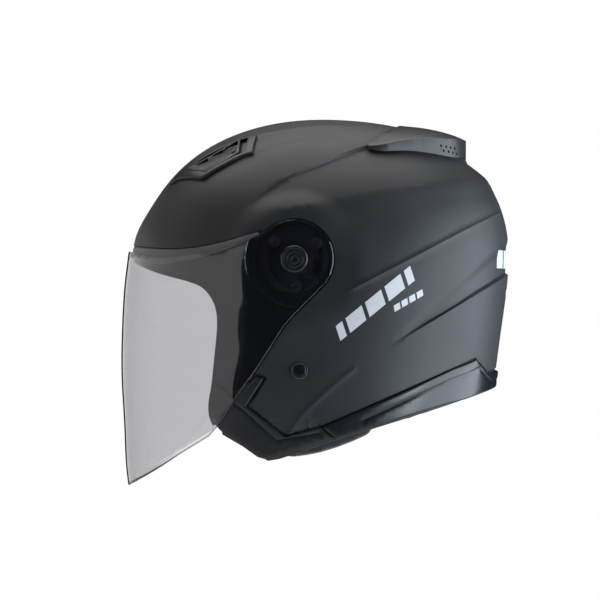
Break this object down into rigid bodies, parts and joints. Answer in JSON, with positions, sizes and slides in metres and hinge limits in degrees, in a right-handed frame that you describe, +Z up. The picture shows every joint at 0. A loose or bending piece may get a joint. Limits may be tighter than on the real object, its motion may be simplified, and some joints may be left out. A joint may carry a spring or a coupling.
{
  "type": "open face motorcycle helmet",
  "caption": "Open face motorcycle helmet with a hinged long clear visor, brow vents with sliders, rear spoiler, lower trims, foam and cloth liners, cheek pads and a ratchet chin strap.",
  "frame": {"origin": "midway between the two visor pivots, on their common axis", "axes": "+X forward out of the face opening, +Y to the wearer's left, +Z up, as worn"},
  "size_m": [0.2916, 0.2492, 0.2747],
  "materials": {
    "shell_black": "satin moulded black with a fine grain",
    "trim_black": "gloss black moulded trim",
    "vent_black": "semi-matt moulded black",
    "visor_clear": "clear hard-coated polycarbonate",
    "pivot_plastic": "polished black nylon",
    "pivot_cap_grey": "satin dark grey",
    "seal_rubber": "smooth extruded rubber",
    "foam": "moulded expanded polystyrene, black beads",
    "lining_cloth": "brushed knitted polyester over foam",
    "pad_cloth": "padded knit and leatherette",
    "webbing": "woven polyester webbing",
    "steel": "zinc-plated steel",
    "rivet_black": "black-coated steel",
    "mesh_metal": "black-painted perforated sheet",
    "buckle_plastic": "black acetal",
    "lever_red": "red acetal"
  },
  "bodies": {
    "helmet": {"outer_shell": "shell_black", "eps_liner": "foam", "crown_liner": "lining_cloth", "cheek_pad_left": "pad_cloth", "cheek_pad_right": "pad_cloth", "neck_roll": "pad_cloth", "face_trim": "seal_rubber", "lower_edge_rubber": "seal_rubber", "cheek_trim_left": "trim_black", "cheek_trim_right": "trim_black", "rear_skirt_trim": "trim_black", "brow_seal": "seal_rubber", "pivot_base_left": "pivot_plastic", "pivot_base_right": "pivot_plastic", "pivot_cap_left": "pivot_cap_grey", "pivot_cap_right": "pivot_cap_grey", "pivot_screws": "steel", "detent_arc_left": "pivot_plastic", "detent_arc_right": "pivot_plastic", "vent_bezel_left": "vent_black", "vent_bezel_right": "vent_black", "vent_mesh_left": "mesh_metal", "vent_mesh_right": "mesh_metal", "rear_spoiler": "vent_black", "strap_rivet_left": "rivet_black", "strap_rivet_right": "rivet_black", "rivet_washer_left": "rivet_black", "rivet_washer_right": "rivet_black", "strap_anchor_left": "steel", "strap_anchor_right": "steel", "chin_strap_left": "webbing", "chin_strap_right": "webbing", "strap_sleeve_left": "lining_cloth", "strap_sleeve_right": "lining_cloth", "buckle_body": "steel", "buckle_pin": "steel", "ratchet_tongue": "buckle_plastic"},
    "visor": {"visor": "visor_clear"},
    "left_vent": {"vent_slider_left": "vent_black"},
    "right_vent": {"vent_slider_right": "vent_black"},
    "lever": {"buckle_lever": "lever_red"}
  },
  "joints": [
    {"name": "visor_hinge", "type": "hinge", "parent": "helmet", "child": "visor", "pos_m": [0, 0, 0], "axis": [0, -1, 0], "range_deg": [0, 62]},
    {"name": "left_vent_slide", "type": "slide", "parent": "helmet", "child": "left_vent", "axis": [-0.8729, 0.2311, 0.4297], "range_m": [0, 0.0045]},
    {"name": "right_vent_slide", "type": "slide", "parent": "helmet", "child": "right_vent", "axis": [-0.8729, -0.2311, 0.4297], "range_m": [0, 0.0045]},
    {"name": "buckle_lever_hinge", "type": "hinge", "parent": "helmet", "child": "lever", "pos_m": [-0.0038, 0.0692, -0.036], "axis": [-1, 0, 0], "range_deg": [0, 35], "stiffness_Nm_per_rad": 0.05}
  ]
}
